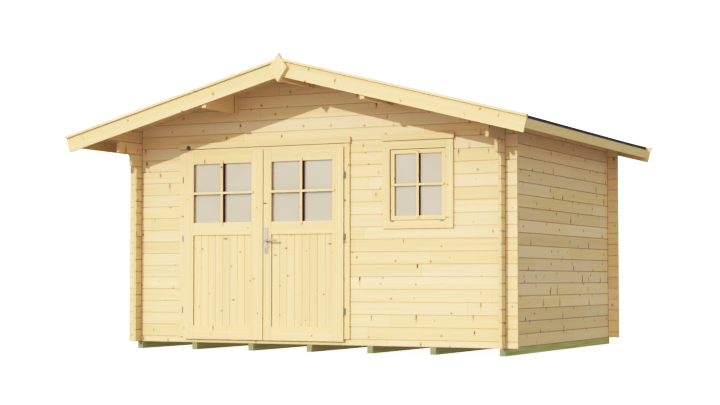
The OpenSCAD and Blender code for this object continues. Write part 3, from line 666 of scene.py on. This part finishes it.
# Glazing bars on both sides of a pane, set on dark tape and lapped over the wood around it. The tape
# beside the upright bar spreads towards the pane as painted shade and painted reflection of the bar's
# unlit side. The level bar lies a little deeper than the upright one.
BAR_W = 22 * MM
BAR_PROUD = 11 * MM
BAR_LAP = 27 * MM
BAR_TAPER = 4 * MM
BAR_END = 0.75
LEVEL_BAR_BACK = 0.5 * MM
TAPE_SIDE = 1 * MM
SHADE_SPREAD = 4 * MM


def bar_outline(start, end, face, out, along):
    """Side view of a bar with blunt sloped ends that stands out from a face."""
    steps = [(start - BAR_LAP, 0), (start - BAR_LAP, BAR_END), (start - BAR_LAP + BAR_TAPER, 1),
             (end + BAR_LAP - BAR_TAPER, 1), (end + BAR_LAP, BAR_END), (end + BAR_LAP, 0)]
    return [along(u, face + out * share * BAR_PROUD) for u, share in steps]


def glazing_bars(name, pane, around, body):
    """Bars on both sides of a pane, upright and level, with dark tape and painted shade between bars and
    pane.
    """
    low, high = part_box(pane)
    near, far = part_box(around)
    x, _, z = middle(pane)
    half = BAR_W / 2
    inner = half - TAPE_SIDE
    wide = inner + SHADE_SPREAD
    wood = bmesh.new()
    shade_tape = bmesh.new()
    for face, glass_y, out in ((near.y, low.y, -1), (far.y, high.y, 1)):
        upright = bar_outline(low.z, high.z, face, out, lambda u, y: (x - half, y, u))
        prism(wood, upright, Vector((BAR_W, 0, 0)))
        deeper = face - out * LEVEL_BAR_BACK
        level = bar_outline(low.x, high.x, deeper, out, lambda u, y: (u, y, z - half))
        prism(wood, level, UP * BAR_W)
        # Painted shade and painted reflection: the tape spreads wider towards the pane beside the upright
        # bar
        prism(shade_tape, [(x - inner, face, low.z), (x + inner, face, low.z), (x + wide, glass_y, low.z),
                     (x - wide, glass_y, low.z)], UP * (high.z - low.z))
        for x0, x1 in ((low.x, x - wide), (x + wide, high.x)):
            prism(shade_tape, rectangle(x0, x1, face, z - inner, z + inner), Vector((0, glass_y - face, 0)))
    piece(name + "_bars", wood, upright_boards, body, "spruce")
    piece(name + "_bar_tape_and_shade", shade_tape, tape_and_shade, body, "roofing_felt")


# Bevel of the roof boards' joints, which show from below
ROOF_JOINT = 4 * MM


def roof_boards(side, sign):
    """Boards of one slope, laid from the ridge to the eave."""
    low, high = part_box(side + "_roof_boards")
    across = abs(high.x - low.x)
    run = Vector((sign * across, 0, -across * math.tan(PITCH)))
    top = high.z
    under = top - ROOF_BOARD_T / math.cos(PITCH)
    count = round((high.y - low.y) / ROOF_BOARD_W)
    mesh = bmesh.new()
    for y0, y1 in side_by_side(low.y, high.y, count):
        prism(mesh, [(0, y0, under + ROOF_JOINT), (0, y0 + ROOF_JOINT, under), (0, y1 - ROOF_JOINT, under),
                     (0, y1, under + ROOF_JOINT), (0, y1, top), (0, y0, top)], run)
    piece(side + "_roof_planks", mesh, sloped_boards, "house", "spruce", side + "_roof_boards")


# Roofing felt in lapped sheets with a strip over the ridge, nailed along its laps
FELT_T = 4 * MM
SHEET_W = 1000 * MM
SHEET_LAP = 100 * MM
LAP_STEP = 20 * MM
RIDGE_STRIP = 220 * MM
NAIL_R = 5 * MM
NAIL_SIDES = 8
NAIL_HIGH = 1.2 * MM
NAIL_SPACE = 130 * MM
NAIL_IN = 18 * MM


def felt_sheets(side, sign):
    """Felt of one slope, from the sheet that is turned down at the eave up to the ridge, and its nails."""
    low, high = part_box(side + "_roof_felt")
    outer = max(abs(low.x), abs(high.x))
    eave = outer - FELT_T
    under = high.z - FELT_T / math.cos(PITCH)
    slope = eave / math.cos(PITCH)
    run = Vector((0, high.y - low.y, 0))

    def on_slope(s, h, y=low.y):
        x = s * math.cos(PITCH) + h * math.sin(PITCH)
        return Vector((sign * x, y, under - s * math.sin(PITCH) + h * math.cos(PITCH)))

    mesh = bmesh.new()
    top = slope - SHEET_W + SHEET_LAP
    end_z = high.z - outer * math.tan(PITCH)
    prism(mesh, [on_slope(top, 0), on_slope(slope, 0), (sign * eave, low.y, low.z),
                 (sign * outer, low.y, low.z), (sign * outer, low.y, end_z), on_slope(top, FELT_T)], run)
    laps = [RIDGE_STRIP]
    while top > 0:
        lower = top + SHEET_LAP
        upper = max(0, lower - SHEET_W)
        prism(mesh, [on_slope(upper, 0), on_slope(top - LAP_STEP, 0), on_slope(top, FELT_T),
                     on_slope(lower, FELT_T), on_slope(lower, 2 * FELT_T), on_slope(top, 2 * FELT_T),
                     on_slope(top - LAP_STEP, FELT_T), on_slope(upper, FELT_T)], run)
        laps.append(lower)
        top = lower - SHEET_W if upper > 0 else 0
    ridge_top = (0, low.y, high.z + FELT_T / math.cos(PITCH))
    prism(mesh, [(0, low.y, high.z), on_slope(RIDGE_STRIP, FELT_T), on_slope(RIDGE_STRIP, 2 * FELT_T),
                 ridge_top], run)
    piece(side + "_felt_sheets", mesh, felt, "house", "roofing_felt", side + "_roof_felt")

    nails = bmesh.new()
    count = int((high.y - low.y) / NAIL_SPACE)
    for lap in laps:
        for i in range(count):
            y = low.y + (i + 0.5) * (high.y - low.y) / count
            ring = []
            for k in range(NAIL_SIDES):
                turn = k * math.tau / NAIL_SIDES
                down = lap - NAIL_IN + NAIL_R * math.cos(turn)
                ring.append(on_slope(down, 2 * FELT_T, y + NAIL_R * math.sin(turn)))
            prism(nails, ring, on_slope(0, NAIL_HIGH) - on_slope(0, 0))
    piece(side + "_clout_nails", nails, zinc, "house", "steel")


# Floor boards, with the bevel of their joints
FLOOR_BOARD_W = 105 * MM
FLOOR_JOINT = 1.5 * MM


def floor_boards():
    """Boards of the floor, laid from wall to wall across the bearers."""
    low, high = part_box("floor")
    count = round((high.y - low.y) / FLOOR_BOARD_W)
    mesh = bmesh.new()
    for y0, y1 in side_by_side(low.y, high.y, count):
        prism(mesh, [(low.x, y0, low.z), (low.x, y1, low.z), (low.x, y1, high.z - FLOOR_JOINT),
                     (low.x, y1 - FLOOR_JOINT, high.z), (low.x, y0 + FLOOR_JOINT, high.z),
                     (low.x, y0, high.z - FLOOR_JOINT)], Vector((high.x - low.x, 0, 0)))
    piece("floor_planks", mesh, sloped_boards, "house", "spruce", "floor")


# Keyhole and screws of the outer handle plate, from the plate's middle, and how far they stand out
KEYHOLE_DROP = 77 * MM
KEYHOLE_R = 8.5 * MM
KEYHOLE_HALF_W = 5 * MM
KEYHOLE_TAIL = 24 * MM
KEYHOLE_PROUD = 0.6 * MM
TAIL_PROUD = 0.48 * MM
SCREW_OFF = 105 * MM
SCREW_R = 4 * MM
SCREW_PROUD = 0.9 * MM


def plate_details():
    """The keyhole's round and its tail, and a screw at either end of the plate."""
    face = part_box("handle_plates")[0].y
    x, _, z = middle("handle_plates")
    out = Vector((0, -1, 0))
    hole_z = z - KEYHOLE_DROP
    hole = bmesh.new()
    disc(hole, (x, face, hole_z), KEYHOLE_R, KEYHOLE_PROUD * out)
    tail = rectangle(x - KEYHOLE_HALF_W, x + KEYHOLE_HALF_W, face, hole_z, hole_z - KEYHOLE_TAIL)
    prism(hole, tail, TAIL_PROUD * out)
    piece("keyhole", hole, zinc, "right_door", "steel")
    screws = bmesh.new()
    for dz in (-SCREW_OFF, SCREW_OFF):
        disc(screws, (x, face, z + dz), SCREW_R, SCREW_PROUD * out)
    piece("plate_screws", screws, zinc, "right_door", "steel")


# Hinges of the window's sash below its lower corners: their size, their distance from its sides and
# lower edge, and how far their axis stands out from the face of the window's frame, which lies behind
# the face of its header board
SASH_HINGE_LEN = 28 * MM
SASH_HINGE_R = 5 * MM
SASH_HINGE_LEFT = 12 * MM
SASH_HINGE_RIGHT = 20 * MM
SASH_HINGE_DROP = 3 * MM
SASH_HINGE_PROUD = 2 * MM
SASH_HINGE_SIDES = 12
HEADER_STEP = 12 * MM


def sash_hinges():
    """The two barrels below the sash."""
    low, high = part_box("window_sash")
    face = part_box("window_frame")[0].y + HEADER_STEP
    z = low.z - SASH_HINGE_R - SASH_HINGE_DROP
    run = Vector((SASH_HINGE_LEN, 0, 0))
    mesh = bmesh.new()
    for x in (low.x + SASH_HINGE_LEFT, high.x - SASH_HINGE_RIGHT - SASH_HINGE_LEN):
        disc(mesh, (x, face - SASH_HINGE_PROUD, z), SASH_HINGE_R, run, SASH_HINGE_SIDES)
    piece("sash_hinges", mesh, zinc, "house", "steel")


# Dark seal in the joint between the window's sash and its frame, which is also painted shade in that gap
SASH_SEAL = 4 * MM
SEAL_PROUD = 1 * MM


def sash_seal_and_shade():
    """Two upright strips along the sash's edges, and two level ones between them."""
    low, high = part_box("window_sash")
    strips = [(x, x + SASH_SEAL, low.z, high.z) for x in (low.x, high.x - SASH_SEAL)]
    for z in (low.z, high.z - SASH_SEAL):
        strips.append((low.x + SASH_SEAL, high.x - SASH_SEAL, z, z + SASH_SEAL))
    mesh = bmesh.new()
    for x0, x1, z0, z1 in strips:
        prism(mesh, rectangle(x0, x1, low.y, z0, z1), Vector((0, -SEAL_PROUD, 0)))
    piece("sash_seal_and_shade", mesh, tape_and_shade, "house", "roofing_felt")


PANEL_SEED = 22
for side, sign in (("left", -1), ("right", 1)):
    panel_boards(side, PANEL_SEED + sign)
    glazing_bars(side + "_leaf", side + "_leaf_glass", side + "_leaf_frame", side + "_door")
    roof_boards(side, sign)
    felt_sheets(side, sign)
glazing_bars("window", "window_glass", "window_sash", "house")
floor_boards()
plate_details()
sash_hinges()
sash_seal_and_shade()

# Stage: a floor that shows near white, as in a bright studio, and casts no light or shade on the house
FLOOR_R = 60
FLOOR_SIDES = 48
FLOOR_GLOW = 1.15
mesh = bmesh.new()
bmesh.ops.create_circle(mesh, cap_ends=True, segments=FLOOR_SIDES, radius=FLOOR_R)
data = bpy.data.meshes.new("studio_floor")
mesh.to_mesh(data)
mesh.free()
studio_floor = bpy.data.objects.new("studio_floor", data)
bpy.context.scene.collection.objects.link(studio_floor)
floor_paint, tree = new_material("matt_white_floor_paint")
finish(tree, {"Base Color": linear("#6a6a6a"), "Roughness": 0.9, "Emission Color": linear("#ffffff"),
              "Emission Strength": FLOOR_GLOW})
data.materials.append(floor_paint)
studio_floor.visible_diffuse = False
studio_floor.visible_glossy = False
studio_floor.visible_shadow = False

# Light: one low sun from the front, a little to the left, and soft light from all around
SUN_PATH = Vector((0.235, 1.0, -0.345))
SUN_STRENGTH = 1.68
SUN_WIDTH = math.radians(0.6)
sun = bpy.data.lights.new("sun", "SUN")
sun.energy = SUN_STRENGTH
sun.angle = SUN_WIDTH
sun_lamp = bpy.data.objects.new("sun", sun)
sun_lamp.rotation_euler = SUN_PATH.to_track_quat("-Z", "Y").to_euler()
bpy.context.scene.collection.objects.link(sun_lamp)

# The soft light is fuller from the front than from behind, a little weaker from the right, and weaker
# from below than from above. What comes from the right is fuller low down than high up.
SOFT_LIGHT = 0.6
SOFT_FRONT = 0.25
SOFT_RIGHT = 0.03
SOFT_BELOW = 0.5
SOFT_ABOVE = 1.35
RIGHT_LEVEL = 0.11
RIGHT_FALL = 0.4
BACKDROP = 1.5
world = bpy.data.worlds.new("studio")
bpy.context.scene.world = world
world.use_nodes = True
tree = world.node_tree
tree.nodes.clear()
place = add(tree, "TexCoord", {}).outputs["Generated"]
away = add(tree, "SeparateXYZ", {0: place}).outputs
height = add(tree, "MapRange", {"Value": away[Z], "From Min": -0.4, "From Max": 0.4}).outputs[0]
tint = add(tree, "Mix", {0: height, 6: linear("#fafafa"), 7: linear("#fafcff")}, data_type="RGBA").outputs[2]
right = add(tree, "Math", {0: away[X], 1: 0.0}, operation="MAXIMUM").outputs[0]
level = add(tree, "Math", {0: away[Y], 1: -SOFT_FRONT, 2: SOFT_LIGHT}, operation="MULTIPLY_ADD").outputs[0]
level = add(tree, "Math", {0: right, 1: -SOFT_RIGHT, 2: level}, operation="MULTIPLY_ADD").outputs[0]
above = add(tree, "MapRange", {"Value": away[Z], "From Min": -0.6, "From Max": 0.15, "To Min": SOFT_BELOW,
                               "To Max": SOFT_ABOVE}).outputs[0]
level = add(tree, "Math", {0: level, 1: above}, operation="MULTIPLY").outputs[0]
lower = add(tree, "Math", {0: away[Z], 1: -RIGHT_FALL, 2: RIGHT_LEVEL}, operation="MULTIPLY_ADD").outputs[0]
share = add(tree, "Math", {0: right, 1: lower, 2: 1.0}, operation="MULTIPLY_ADD").outputs[0]
level = add(tree, "Math", {0: level, 1: share}, operation="MULTIPLY").outputs[0]
soft = add(tree, "Background", {"Color": tint, "Strength": level}).outputs[0]
white = add(tree, "Background", {"Color": linear("#ffffff"), "Strength": BACKDROP}).outputs[0]
seen = add(tree, "LightPath", {}).outputs["Is Camera Ray"]
mixed = add(tree, "MixShader", {0: seen, 1: soft, 2: white}).outputs[0]
add(tree, "OutputWorld", {"Surface": mixed})

# Camera at the photograph's place, with the shift that its framing needs
VIEW_PLACE = (6.7196, -14.1823, 0.6664)
VIEW_TILT = math.radians(92.494)
VIEW_TURN = math.radians(26.343)
camera = bpy.data.cameras.new("camera")
camera.lens = 77.92
camera.sensor_width = 36
camera.shift_x = 0.00774
camera.shift_y = 0.0125
viewer = bpy.data.objects.new("camera", camera)
viewer.location = VIEW_PLACE
viewer.rotation_euler = (VIEW_TILT, 0, VIEW_TURN)
bpy.context.scene.collection.objects.link(viewer)
bpy.context.scene.camera = viewer

# Tone curves of a photograph: soft in the highlights, fuller and a little cooler in the shade
TONE = ((0.12, 0.11), (0.32, 0.42), (0.64, 0.79))
TONE_BLUE = ((0.05, 0.05), (0.12, 0.126), (0.46, 0.447))
TONE_WHITE = 1.25
BLUE_CURVE = 2
WHOLE_CURVE = 3
look = bpy.context.scene.view_settings
look.view_transform = "Standard"
look.use_curve_mapping = True
for x, y in TONE:
    look.curve_mapping.curves[WHOLE_CURVE].points.new(x, y)
for x, y in TONE_BLUE:
    look.curve_mapping.curves[BLUE_CURVE].points.new(x, y)
look.curve_mapping.white_level = (TONE_WHITE,) * 3
look.curve_mapping.update()
